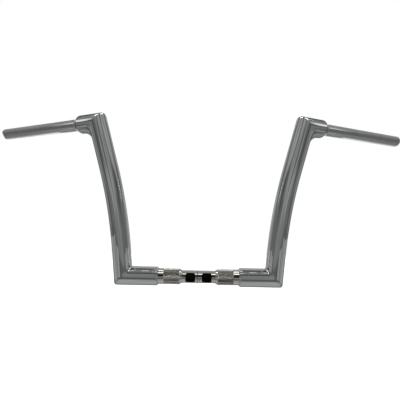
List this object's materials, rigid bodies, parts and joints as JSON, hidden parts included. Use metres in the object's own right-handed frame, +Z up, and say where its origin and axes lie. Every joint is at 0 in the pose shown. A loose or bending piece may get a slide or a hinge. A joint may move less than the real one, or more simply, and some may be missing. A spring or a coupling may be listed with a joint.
{
  "type": "motorbike handlebar",
  "caption": "Chromed flat top handlebar: mitred steel tubes, curved risers, level pulled-back grips, knurled clamp bands and wiring windows at the centre.",
  "frame": {"origin": "middle of the clamp axis, halfway between the two knurled bands", "axes": "+X along the clamp axis to the clutch side, the rider's left; +Y to the rear, towards the rider; +Z up along the risers"},
  "size_m": [0.9832, 0.1641, 0.3514],
  "materials": {
    "tube_chrome": "bright show chrome over ground welds",
    "clamp_chrome": "chrome, duller on the knurled bands",
    "grip_chrome": "chrome fading to a satin finish under the grips"
  },
  "bodies": {
    "root": {"centre_tube": "clamp_chrome", "throttle_side_clamp_sleeve": "clamp_chrome", "throttle_side_lower_tube": "tube_chrome", "throttle_side_riser_tube": "tube_chrome", "throttle_side_upper_tube": "tube_chrome", "throttle_side_grip_reducer": "tube_chrome", "throttle_side_grip_tube": "grip_chrome", "clutch_side_clamp_sleeve": "clamp_chrome", "clutch_side_lower_tube": "tube_chrome", "clutch_side_riser_tube": "tube_chrome", "clutch_side_upper_tube": "tube_chrome", "clutch_side_grip_reducer": "tube_chrome", "clutch_side_grip_tube": "grip_chrome"}
  },
  "joints": []
}
